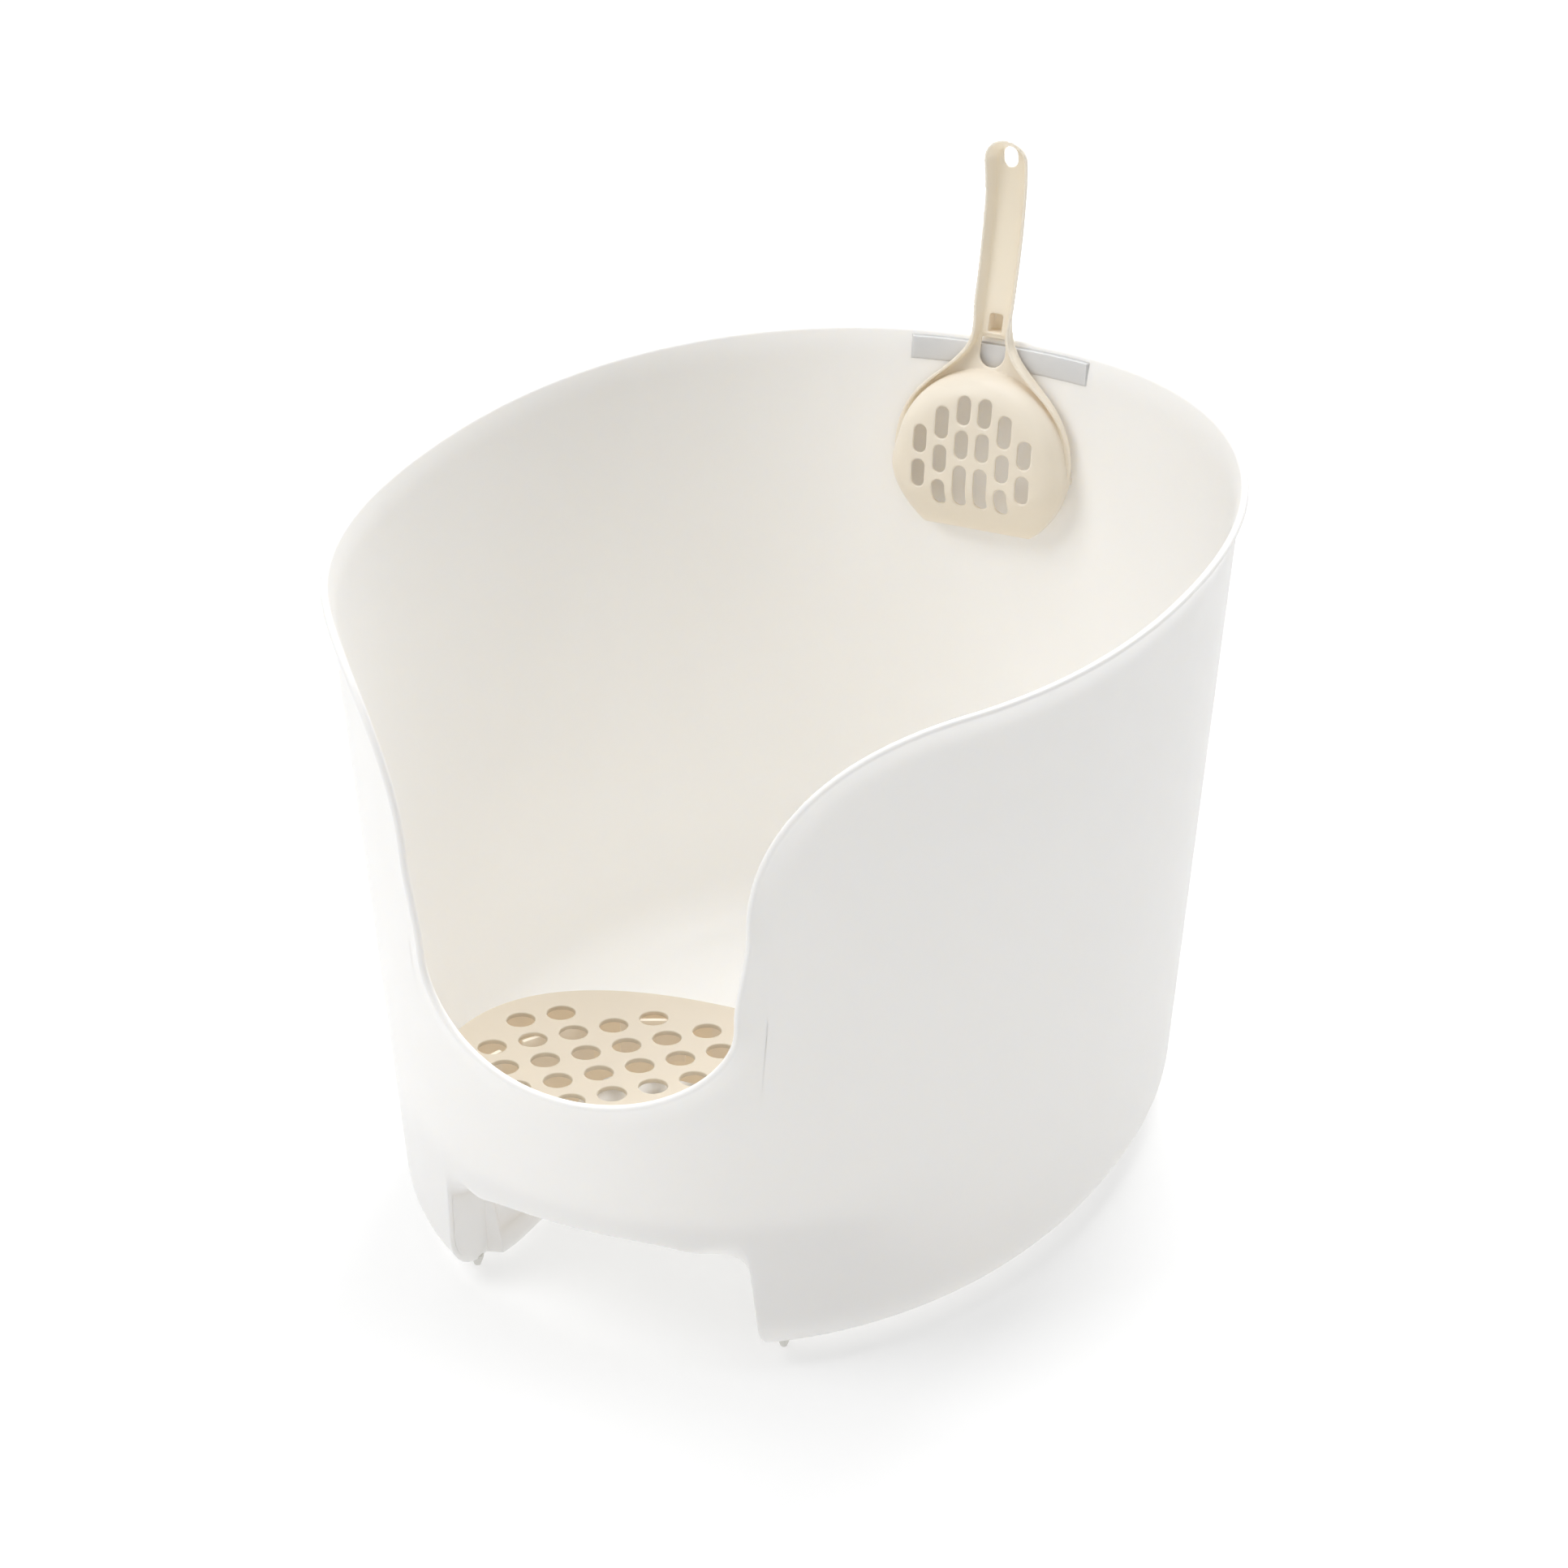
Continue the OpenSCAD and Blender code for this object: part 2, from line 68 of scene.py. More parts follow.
# roll from wall to base, and the base's height above the floor
BASE_R, GAP = 29.0, 4.6
# entry: sill height, half width, bottom bend, side height, side lean, shoulder width
SILL, HALF_W, BEND, SIDE, LEAN, SHOULDER = 166.0, 89.5, 56.0, 58.0, 7.5, 85.0
# archway: half width, height, narrowing to the rear, where it starts to sink, and over what run
ARCH_W, ARCH_H, ARCH_N, ARCH_Y, ARCH_D = 91.0, 78.0, 12.0, 122.0, 36.0
ARCH_POWER = 3.8
ARCH_EDGE_R, ROLL_FROM, ROLL_RUN, ROLL_INNER = 2.0, 58.0, 32.0, 6.0
NARROW_Y, NARROW_RUN = -222.0, 12.0
NARROW_X, NARROW_FADE = 150.0, 55.0
CEILING_BLEND = 10.0
TOP_X, TOP_Y = RIM_W / 2 - FLARE, RIM_L / 2 - FLARE
LIP_R = LIP_T / 2
P_BASE, P_RIM, P_SHOULDER = 2.1, 2.2, 1.85
# columns of the wall's grid along each stretch of one side's edge
N_BEND, N_SIDE, N_SHOULDER, N_FLANK = 22, 10, 24, 34
N_FRONT = N_BEND + N_SIDE + N_SHOULDER
N_HALF = 2 * (N_FRONT + N_FLANK)
N_LOOP = 2 * N_HALF


def half_x(z):
    return TOP_X - TAPER_X * (RIM_H - z)


def half_y(z):
    return TOP_Y - TAPER_Y * (RIM_H - z)


def power_at(z):
    return mix(P_BASE, P_RIM, z / RIM_H)


def wall_point(turn, z, out):
    """Points of the wall at turns in degrees (0 front, 90 right, 180 rear), moved outwards."""
    turn, z, out = np.broadcast_arrays(
        np.asarray(turn, float), np.asarray(z, float), np.asarray(out, float))
    a, b, n = half_x(z), half_y(z), power_at(z)
    s, c = np.sin(np.radians(turn)), np.cos(np.radians(turn))
    x, y = spow(s, 2 / n), -spow(c, 2 / n)
    gx, gy = spow(x, n - 1) / a, spow(y, n - 1) / b
    g = np.hypot(gx, gy)
    return np.stack([a * x + out * gx / g, b * y + out * gy / g, z], -1)


def turn_at(x, z):
    """Turn of the front wall's point at a distance across and a height."""
    return np.degrees(np.arcsin(np.clip(
        np.clip(x / half_x(z), 0, 1) ** (power_at(z) / 2), 0, 1)))


def entry_edge():
    """The entry's edge from the middle of its sill up to the rim, as x and z."""
    bend_top = SILL + BEND
    side_top = bend_top + SIDE
    q = np.radians(90 * np.arange(N_BEND + 1) / N_BEND)
    f = np.arange(1, N_SIDE + 1) / N_SIDE
    w = np.radians(90 * np.arange(1, N_SHOULDER + 1) / N_SHOULDER)
    p = 2 / P_SHOULDER
    x = np.concatenate([HALF_W * np.sin(q), HALF_W + LEAN * smooth(f),
                        HALF_W + LEAN + SHOULDER * (1 - np.cos(w).clip(0) ** p)])
    z = np.concatenate([bend_top - BEND * np.cos(q), bend_top + SIDE * f,
                        side_top + (RIM_H - side_top) * np.sin(w) ** p])
    return x, z


column = np.arange(N_HALF + 1)
mirrored = np.minimum(column, N_HALF - column)
LEG_A, LEG_B, ARCH_REACH = 93.0, 172.0, 89.0


def base_x(i):
    """How far across each column of the entry stands at the base."""
    bent = ARCH_REACH * np.sin(np.radians(90 * np.minimum(i, N_BEND) / N_BEND))
    leg = LEG_A + (LEG_B - LEG_A) * (i - N_BEND - 1) / (N_FRONT - N_BEND - 1)
    return np.where(i <= N_BEND, bent, leg)


leg_turn = turn_at(LEG_B, BASE_R + GAP)
base_turns = np.where(mirrored <= N_FRONT, turn_at(base_x(mirrored), BASE_R + GAP),
                      mix(leg_turn, 90, (mirrored - N_FRONT) / N_FLANK))
base_turns = np.where(column <= N_HALF / 2, base_turns, 180 - base_turns)
edge_x, edge_z = entry_edge()
lag = turn_at(edge_x[N_FRONT], edge_z[N_FRONT]) - base_turns[N_FRONT]
lip_turns = base_turns + lag * np.clip(1 - (column - N_FRONT) / (2 * N_FLANK), 0, 1)
lip_turns[:N_FRONT + 1] = turn_at(edge_x, edge_z)
lip_heights = np.full(N_HALF + 1, RIM_H)
lip_heights[:N_FRONT + 1] = edge_z

pace = np.linalg.norm(wall_point(lip_turns + 0.5, lip_heights, 0)
                      - wall_point(lip_turns - 0.5, lip_heights, 0), axis=1)
before = np.maximum(column - 1, 0)
after = np.minimum(column + 1, N_HALF)
run = (lip_turns[after] - lip_turns[before]) * pace
climb = lip_heights[after] - lip_heights[before]
length = np.hypot(run, climb)
square_turn = np.where((column == 0) | (column >= N_FRONT), 0, climb / length / pace)
square_rise = np.where((column == 0) | (column >= N_FRONT), -1, -run / length)


def from_lip(d):
    """Turns and heights of the row that runs at a distance below the lip."""
    return lip_turns + square_turn * d, lip_heights + square_rise * d


def flare_at(d):
    return np.clip((REACH - d) / (REACH - LIP_R), 0, 1) ** 2


def skin_out(d):
    return FLARE * flare_at(d)


def skin_in(d):
    return skin_out(d) - mix(WALL, LIP_T, flare_at(d))


def arch_ceiling(x):
    """Height of the archway's ceiling above the floor at the front."""
    return np.where(x >= ARCH_W, GAP, GAP + ARCH_H * np.clip(
        1 - np.clip(x / ARCH_W, 0, 1) ** ARCH_POWER, 0, 1) ** (1 / ARCH_POWER))


front_x = base_x(column)
foot_heights = np.where(column > N_FRONT, GAP, arch_ceiling(front_x))
foot_radius = np.where(column > N_FRONT, BASE_R,
                       mix(ARCH_EDGE_R, BASE_R, smooth((front_x - ROLL_FROM) / ROLL_RUN)))
slope = np.zeros(N_HALF + 1)
for i in range(1, N_BEND + 2):
    slope[i] = ((foot_heights[i + 1] - foot_heights[i - 1])
                / (front_x[i + 1] - front_x[i - 1]))
ceiling = np.stack([-slope, np.ones_like(slope)], -1)
ceiling /= np.linalg.norm(ceiling, axis=1)[:, None]


def lip_row(q):
    t, z = from_lip(LIP_R * (1 - math.sin(math.radians(q))))
    return wall_point(t, z, FLARE - LIP_R * (1 - math.cos(math.radians(q))))


def near_row(d, inner):
    t, z = from_lip(d)
    return wall_point(t, z, skin_in(d) if inner else skin_out(d))


def foot_top(inner):
    return WALL + np.maximum(foot_radius - WALL, ROLL_INNER) if inner else foot_radius


def mid_row(f, inner):
    t, z = from_lip(REACH)
    return wall_point(mix(t, base_turns, f), mix(z, foot_heights + foot_top(inner), f),
                      -WALL if inner else 0.0)


# share of the foot row's distance across that is kept through the turn: all beside the archway
keep_x = np.clip((N_FRONT - mirrored) / (N_FRONT - N_BEND - 1), 0, 1)


def foot_row(q, inner):
    """Row of the turn from wall to base; beside the archway it keeps its distance across."""
    lift = WALL if inner else 0.0
    r = foot_top(inner) - lift
    s, c = math.sin(math.radians(q)), math.cos(math.radians(q))
    z, out = foot_heights + lift + r * (1 - s), -lift - r * (1 - c)
    turns = base_turns
    want = mix(wall_point(turns, z, out)[:, 0], wall_point(turns, z, -lift)[:, 0], keep_x)
    for _ in range(4):
        row = wall_point(turns, z, out)
        step = wall_point(turns + 0.5, z, out) - wall_point(turns - 0.5, z, out)
        slow = np.abs(step[:, 0]) < 0.2
        turns = turns + (want - row[:, 0]) / np.where(slow, 1e9, step[:, 0])
    return wall_point(turns, z, out)


def grid_object(name, points, quads):
    """Object from points and faces, with doubled points merged and faces turned outwards."""
    mesh = bpy.data.meshes.new(name)
    mesh.from_pydata([tuple(p) for p in points], [], quads)
    mesh.validate()
    b = bmesh.new()
    b.from_mesh(mesh)
    bmesh.ops.remove_doubles(b, verts=b.verts, dist=2e-6)
    bmesh.ops.dissolve_degenerate(b, dist=1e-6, edges=b.edges)
    bmesh.ops.recalc_face_normals(b, faces=b.faces)
    b.to_mesh(mesh)
    b.free()
    obj = bpy.data.objects.new(name, mesh)
    bpy.context.scene.collection.objects.link(obj)
    return obj


def shade(obj, angle=40):
    obj.data.shade_smooth()
    obj.data.set_sharp_from_angle(angle=math.radians(angle))


def build_tub():
    """Closed skin of the tub: rows from base to lip and down inside, then both base sheets."""
    feet = np.linspace(90, 0, 9)
    middle = (0.93, 0.84, 0.72, 0.6, 0.48, 0.36, 0.24, 0.12, 0.0)
    near = (14.5, 12, 10, 8, 6.5, 5, 3.8)
    rows = ([foot_row(q, False) for q in feet]
            + [mid_row(f, False) for f in middle]
            + [near_row(d, False) for d in near]
            + [lip_row(q) for q in np.linspace(0, 180, 11)]
            + [near_row(d, True) for d in near[::-1]]
            + [mid_row(f, True) for f in middle[::-1]]
            + [foot_row(q, True) for q in feet[::-1]])
    skin = []
    for r in rows:
        left = r[1:N_HALF][::-1] * [-1, 1, 1]
        skin.append(np.concatenate([r, left]))
    n_rows = len(skin)
    points = np.concatenate(skin)

    steps = np.unique(np.round(np.concatenate([
        np.linspace(0, 0.05, 8), np.linspace(0.05, 0.2, 8),
        np.linspace(0.2, 0.4, 27), np.linspace(0.4, 1, 17)]), 5))
    n_steps = len(steps) - 1
    n_lines = N_HALF // 2
    inside = []
    for inner in (False, True):
        row = skin[-1] if inner else skin[0]
        for k in range(1 - n_lines, n_lines):
            i = abs(k)
            a, b = row[i], row[N_HALF - i]
            f = steps[1:-1]
            y = mix(a[1], b[1], f)
            fade_y = y - 2 if inner else y
            fade = 1 - smooth((fade_y + ARCH_Y) / ARCH_D)
            rise = (foot_heights[i] - GAP) * fade
            on = np.clip(rise / CEILING_BLEND, 0, 1)
            depth = np.maximum(0, y - NARROW_Y)
            w = np.clip((NARROW_X - a[0]) / NARROW_FADE, 0, 1)
            squeeze = 1 - w * ARCH_N / ARCH_W * (1 - np.exp(-depth / NARROW_RUN))
            lift = WALL if inner else 0.0
            x = mix(a[0], b[0], f) * squeeze + lift * ceiling[i, 0] * on
            z = GAP + rise + lift * mix(1, ceiling[i, 1], on)
            inside.append(np.stack([-x if k < 0 else x, y, z], -1))
    points = np.concatenate([points] + inside)
    n_skin = n_rows * N_LOOP
    n_base = (2 * n_lines - 1) * (n_steps - 1)

    def loop_index(k, rear):
        return ((N_HALF - k if rear else k) + N_LOOP) % N_LOOP

    def index(k, j, inner):
        ring = (n_rows - 1) * N_LOOP if inner else 0
        if abs(k) == n_lines or j == 0:
            return ring + loop_index(k, False)
        if j == n_steps:
            return ring + loop_index(k, True)
        return (n_skin + (n_base if inner else 0)
                + (k + n_lines - 1) * (n_steps - 1) + j - 1)

    quads = []
    for r in range(n_rows - 1):
        for c in range(N_LOOP):
            e = (c + 1) % N_LOOP
            quads.append((r * N_LOOP + c, (r + 1) * N_LOOP + c,
                          (r + 1) * N_LOOP + e, r * N_LOOP + e))
    for inner in (False, True):
        for k in range(-n_lines, n_lines):
            for j in range(n_steps):
                q = [index(k, j, inner), index(k + 1, j, inner),
                     index(k + 1, j + 1, inner), index(k, j + 1, inner)]
                q = list(dict.fromkeys(q))
                if len(q) > 2:
                    quads.append(tuple(q[::-1] if inner else q))
    return grid_object("tub_shell", (points + [0, SHIFT_Y, 0]) * MM, quads)


def build_seat():
    """Shallow moulded seat for the scoop's hook, on the inside of the rear rim."""
    low, high, half = 368.0, 381.5, 57.0
    thin, thick, sunk = 0.4, 2.4, -0.3
    f = np.array([-0.01, 0.0, 0.012, 0.1, 0.25, 0.4, 0.5, 0.6, 0.75, 0.9, 0.988, 1.0, 1.01])
    g = np.array([-0.04, 0.0, 0.08, 0.3, 0.6, 0.92, 1.0, 1.04])
    rows = []
    for k, v in enumerate(g):
        z = mix(low, high, v)
        d = RIM_H - z
        rim = k in (0, len(g) - 1)
        beside = (f < 0) | (f > 1)
        proud = mix(thin, thick, v) * np.where(beside, sunk, 1.0) * (sunk if rim else 1)
        t = 180 - np.sign(f - 0.5) * turn_at(np.abs(mix(-half, half, f)), z)
        rows.append(wall_point(t, z, skin_in(d) - proud))
    front = np.array(rows)
    n, m = front.shape[:2]
    points = front.reshape(-1, 3)
    back = points + [0, 1.0, 0]
    quads = []
    for i in range(n - 1):
        for j in range(m - 1):
            a = i * m + j
            quads += [(a, a + 1, a + m + 1, a + m),
                      tuple(n * m + q for q in (a + m, a + m + 1, a + 1, a))]
    edge = ([(j, j + 1) for j in range(m - 1)]
            + [(i * m + m - 1, (i + 1) * m + m - 1) for i in range(n - 1)]
            + [((n - 1) * m + j + 1, (n - 1) * m + j) for j in range(m - 1)]
            + [((i + 1) * m, i * m) for i in range(n - 1)])
    quads += [(a, n * m + a, n * m + b, b) for a, b in edge]
    both = np.concatenate([points, back])
    return grid_object("hook_seat", (both + [0, SHIFT_Y, 0]) * MM, quads)


# ------------------------------------------------------------------ the scoop's shape
# The scoop is worked out as a distance field in its own frame: u across, v up its
# length, w towards the entry. Surface nets turn the field into one closed skin.
NET = 0.6
HANG = np.array([-5.8, 286.3, 386.0])
HANG_LEAN = math.radians(6.8)
# head: radius, its middle and the height where it is cut straight
HEAD_R, HEAD_V, HEAD_EDGE = 57.5, -72.0, -118.0
BOWL_R, BOWL_FLAT, BOWL_D = 54.0, 35.0, 19.9
SKIN = 2.2
# handle: bend of the whole sheet, half width, its growth, lowest point and end
HANDLE_BEND, BEND_LOW, BEND_HIGH = 17.4, -60.0, 88.0
STEM_HALF, STEM_GROWTH, STEM_LOW, STEM_END_R = 9.1, 0.4, -60.0, 9.5
HANDLE_TOP, NECK_BLEND = 117.3, 34.0
# raised rim: height, extra height at the handle's end, thickness and outward lean
RIM_UP, RIM_EXTRA, RIM_T, RIM_LEAN, RIM_MOST = 9.3, 1.5, 2.1, 0.42, 12.0
# slots as places across and up with their lengths, each cut on both sides
SLOTS = ((34, -61.5, 17.5), (34, -83, 17.2),
         (20.4, -49.4, 20), (20.4, -72, 17.2), (20.4, -93.2, 16.4),
         (6.8, -40.2, 17.7), (6.8, -61.3, 17.6), (6.8, -87.4, 26))
SLOT_R = 4.2
WINDOW_U, WINDOW_LOW, WINDOW_TOP, WINDOW_R = 0.3, -8.6, 2.9, 8.1
EYE_U, EYE_LOW, EYE_HIGH, EYE_R = -0.3, 108.0, 111.9, 4.4
# hook: hollow boss, tongue behind the rim, and bar across the window's top
BOSS_LOW, BOSS_BACK, BOSS_TOP, BOSS_HALF = 0.9, -17.4, 17.2, 5.4
TONGUE_HALF, TONGUE_LOW, TONGUE_HIGH = 4.4, -8.0, 6.0
BAR_HALF, BAR_R = 8.6, 1.3
POCKET_HALF, POCKET_TOP, POCKET_FLOOR, POCKET_BACK = 4.3, 15.4, 3.5, 1.8


def bent(v):
    """How far the scoop's sheet bends towards the entry at a height above the neck."""
    f = np.clip((v - BEND_LOW) / (BEND_HIGH - BEND_LOW), 0, 1)
    back = (1 - np.cos(np.pi * f)) / 2 - 0.33 * (np.maximum(v - BEND_HIGH, 0) / 34) ** 2
    return -HANDLE_BEND * back


def soft_min(a, b, k):
    """Smaller of two distances, rounded over k where they meet."""
    h = np.clip(0.5 + 0.5 * (b - a) / k, 0, 1)
    return mix(b, a, h) - k * h * (1 - h)


def soft_max(a, b, k):
    return -soft_min(-a, -b, k)


def segment(u, v, u0, v0, u1, v1):
    """Distance to the line between two points."""
    du, dv = u1 - u0, v1 - v0
    t = np.clip(((u - u0) * du + (v - v0) * dv) / (du * du + dv * dv), 0, 1)
    return np.hypot(u - u0 - t * du, v - v0 - t * dv)


def scoop_outline(u, v, grow):
    """Distance to the scoop's outline; the handle's part of it grows with the wall height."""
    head = np.hypot(u, v - HEAD_V) - HEAD_R
    half = STEM_HALF + STEM_GROWTH * smooth((v - 10) / 60)
    top = HANDLE_TOP - STEM_END_R
    a = np.abs(u)
    stem = np.where(v > top, np.hypot(u, v - top) - half, a - half) - grow
    stem = np.maximum(stem, -(v - STEM_LOW))
    return soft_min(head, stem, NECK_BLEND)


def scoop_field(u, v, w):
    """Distance to the scoop's surface, negative inside."""
    depth = w - bent(v)
    # thin sheet with the bowl pressed out of it; below, the bowl reaches the edge
    r = np.hypot(u, v - HEAD_V)
    reach = mix(BOWL_R, HEAD_R + 0.4, smooth((HEAD_V + 12 - v) / 26))
    side = np.clip((r - BOWL_FLAT) / (reach - BOWL_FLAT), 0, 1.2)
    dome = np.sqrt(np.clip(1 - side ** 2.5, 0, 1))
    front = smooth((v - HEAD_EDGE) / 30) ** 0.8
    bowl = SKIN + (BOWL_D - SKIN) * dome * front
    gate = smooth((reach + 0.6 - r) / 1.2)
    height = SKIN + (bowl - SKIN) * gate
    step = np.hypot(*np.gradient(height[:, :, 0], NET, NET))[:, :, None]
    slant = np.sqrt(1 + np.minimum(step, 3.2) ** 2)
    face = (depth - height) / slant
    sheet = np.maximum(face, -(face + SKIN))

    # raised rim along the handle, sinking round the head
    rise = np.clip(depth, 0, RIM_MOST)
    grow = RIM_LEAN * rise * smooth((v + 4) / 26)
    edge = scoop_outline(u, v, grow)
    rim_top = np.where(v > -8, RIM_UP + RIM_EXTRA * smooth((v - 84) / 24),
                       RIM_UP * smooth((v + 84) / 76) ** 1.3 + 0.2)
    walls = np.maximum(np.maximum(edge, -(edge + RIM_T - 0.05 * rise)),
                       np.maximum(depth - rim_top, -depth))
    flat = np.maximum(sheet, edge)
    body = soft_min(flat, walls, 1.0)
    body = soft_max(body, -(v - HEAD_EDGE), 1.0)

    # slots, neck window and hanging hole, all cut straight through
    mirror = np.abs(u)
    cut = np.full_like(u, 1e3)
    for cu, cv, cl in SLOTS:
        s = cl / 2 - SLOT_R
        cut = np.minimum(cut, segment(mirror, v, cu, cv - s, cu, cv + s) - SLOT_R)
    window = segment(u, v, WINDOW_U, WINDOW_LOW, WINDOW_U, 12) - WINDOW_R
    cut = np.minimum(cut, np.maximum(window, v - WINDOW_TOP))
    cut = np.minimum(cut, segment(u, v, EYE_U, EYE_LOW, EYE_U, EYE_HIGH) - EYE_R)
    body = soft_max(body, -cut, 0.9)

    # hook: a hollow boss behind the handle's foot, and the tongue behind the rim
    boss = np.maximum(soft_max(mirror - BOSS_HALF, BOSS_BACK - w, 2.5), v - BOSS_TOP)
    boss = np.maximum(np.maximum(boss, BOSS_LOW - v), depth - 1)
    tongue = np.maximum(
        np.maximum(mirror - TONGUE_HALF, np.maximum(-v + TONGUE_LOW, v - TONGUE_HIGH)),
        np.abs(w - BOSS_BACK - SKIN / 2) - SKIN / 2)
    bar = np.maximum(np.maximum(mirror - BAR_HALF, np.abs(v - BOSS_LOW - BAR_R) - BAR_R),
                     np.maximum(depth - 1.4, BOSS_BACK + 2 - w))
    body = soft_min(body, soft_min(np.minimum(boss, bar), tongue, 1.0), 0.8)
    pocket = soft_max(mirror - POCKET_HALF, v - POCKET_TOP, 2.0)
    pocket = np.maximum(np.maximum(pocket, BOSS_LOW + POCKET_FLOOR - v),
                        BOSS_BACK + POCKET_BACK - w)
    return soft_max(body, -pocket, 0.6)


def surface_net(field, low, high):
    """Closed quad skin of a distance field's zero level, on a grid NET mm apart."""
    axes = [np.arange(a, b, NET) for a, b in zip(low, high)]
    grid = np.meshgrid(*axes, indexing="ij", sparse=True)
    f = field(*grid)
    # one point per cell that the surface crosses, at the mean of the crossings on its edges
    inside = f < 0
    shape = np.array(f.shape)
    total = np.zeros(tuple(shape - 1) + (3,))
    count = np.zeros(tuple(shape - 1))
    cells = [np.arange(n - 1) for n in shape]
    for axis in range(3):
        a = [slice(None)] * 3
        b = [slice(None)] * 3
        a[axis], b[axis] = slice(0, -1), slice(1, None)
        fa, fb = f[tuple(a)], f[tuple(b)]
        crossing = inside[tuple(a)] != inside[tuple(b)]
        t = np.where(crossing, fa / np.where(fa == fb, 1, fa - fb), 0)
        others = [i for i in range(3) if i != axis]
        for p in (0, 1):
            for q in (0, 1):
                cut = [slice(None)] * 3
                cut[others[0]] = slice(p, shape[others[0]] - 1 + p)
                cut[others[1]] = slice(q, shape[others[1]] - 1 + q)
                c = crossing[tuple(cut)]
                count += c
                total[..., axis] += np.where(c, t[tuple(cut)], 0)
                total[..., others[0]] += c * p
                total[..., others[1]] += c * q
    used = count > 0
    number = np.full(used.shape, -1)
    number[used] = np.arange(used.sum())
    where = np.argwhere(used)
    points = np.array(low) + NET * (where + total[used] / count[used][:, None])
    # one quad round each grid edge that the surface crosses
    quads = []
    for axis in range(3):
        a = [slice(1, -1)] * 3
        b = [slice(1, -1)] * 3
        a[axis], b[axis] = slice(0, -1), slice(1, None)
        first, second = inside[tuple(a)], inside[tuple(b)]
        spots = np.argwhere(first != second)
        goes_out = first[first != second]
        i, j = [k for k in range(3) if k != axis]
        base = spots.copy()
        base[:, i] += 1
        base[:, j] += 1
        corner = []
        for p, q in ((0, 0), (1, 0), (1, 1), (0, 1)):
            n = base.copy()
            n[:, i] -= p
            n[:, j] -= q
            corner.append(number[n[:, 0], n[:, 1], n[:, 2]])
        q = np.stack(corner, -1)
        flip = goes_out if axis != 1 else ~goes_out
        q[flip] = q[flip][:, ::-1]
        quads.append(q[:, ::-1])
    return points, np.concatenate(quads)


def build_scoop():
    points, quads = surface_net(scoop_field, (-62, -122, -24), (62, 126, 23))
    s, c = math.sin(HANG_LEAN), math.cos(HANG_LEAN)
    u, v, w = points.T
    placed = np.stack([u, v * s - w * c, v * c + w * s], -1) + HANG + [0, SHIFT_Y, 0]
    mesh = bpy.data.meshes.new("scoop_skin")
    mesh.from_pydata([tuple(p) for p in placed * MM], [], [tuple(map(int, q)) for q in quads])
    mesh.validate()
    b = bmesh.new()
    b.from_mesh(mesh)
    bmesh.ops.recalc_face_normals(b, faces=b.faces)
    b.to_mesh(mesh)
    b.free()
    obj = bpy.data.objects.new("scoop_skin", mesh)
    bpy.context.scene.collection.objects.link(obj)
    return obj


# ------------------------------------------------------------------ the step's shape
STEP_TOP, PLATE, STEP_HALF, STEP_REAR, STEP_GAP = 98.5, 3.0, 144.5, 52.5, 4.0
STEP_MID, STEP_POWER, SKIRT = -150.0, 2.5, 2.4
HOLE_R, PITCH = 8.1, 16.8
# solid margins of the plate beside the holes at the sides, rear and front, and the field's shape
MARGIN_X, MARGIN_REAR, MARGIN_FRONT, FIELD_POWER, FIELD_REACH = 23.0, 28.0, 16.0, 2.6, 1.12
RIB_R, RIB_DEEP, RIB_Y = 122.0, 26.0, -190.0
TEETH = ((-66, -38), (-38, -13), (-13, 13), (13, 38), (38, 66))
RIB_END, RIB_GAP = 89, 8
EDGE_R = 0.7
step_in_x = half_x(STEP_TOP) - WALL - STEP_GAP
step_in_y = half_y(STEP_TOP) - WALL - STEP_GAP


def step_front(x):
    """Front edge of the step, along the tub's inner wall."""
    return -step_in_y * (1 - (np.abs(x) / step_in_x) ** P_BASE) ** (1 / P_BASE)


def step_edge(inset):
    """The step's rear edge from right to left, and its front edge from left to right."""
    w, d = STEP_HALF - inset, -STEP_MID - STEP_REAR - inset
    q = np.radians(np.linspace(0, 180, 97))
    rear = np.stack([w * spow(np.cos(q), 2 / STEP_POWER),
                     STEP_MID + d * np.sin(q) ** (2 / STEP_POWER)], -1)
    x = np.linspace(-w + 6, w - 6, 65)
    return rear, np.stack([x, step_front(x) + inset], -1)


def step_hole_spots():
    """Places of the holes: staggered rows that keep clear of the plate's edge."""
    spots = []
    for k in range(-8, 9):
        for m in range(-8, 7):
            x, y = k * PITCH, STEP_MID + m * PITCH
            q = ((abs(x) / (STEP_HALF - MARGIN_X)) ** FIELD_POWER
                 + (max(0, y - STEP_MID) / (-STEP_REAR - STEP_MID - MARGIN_REAR)) ** FIELD_POWER)
            if (k + m) % 2 and q < FIELD_REACH and y > step_front(x) + MARGIN_FRONT:
                spots.append((x, y))
    return spots


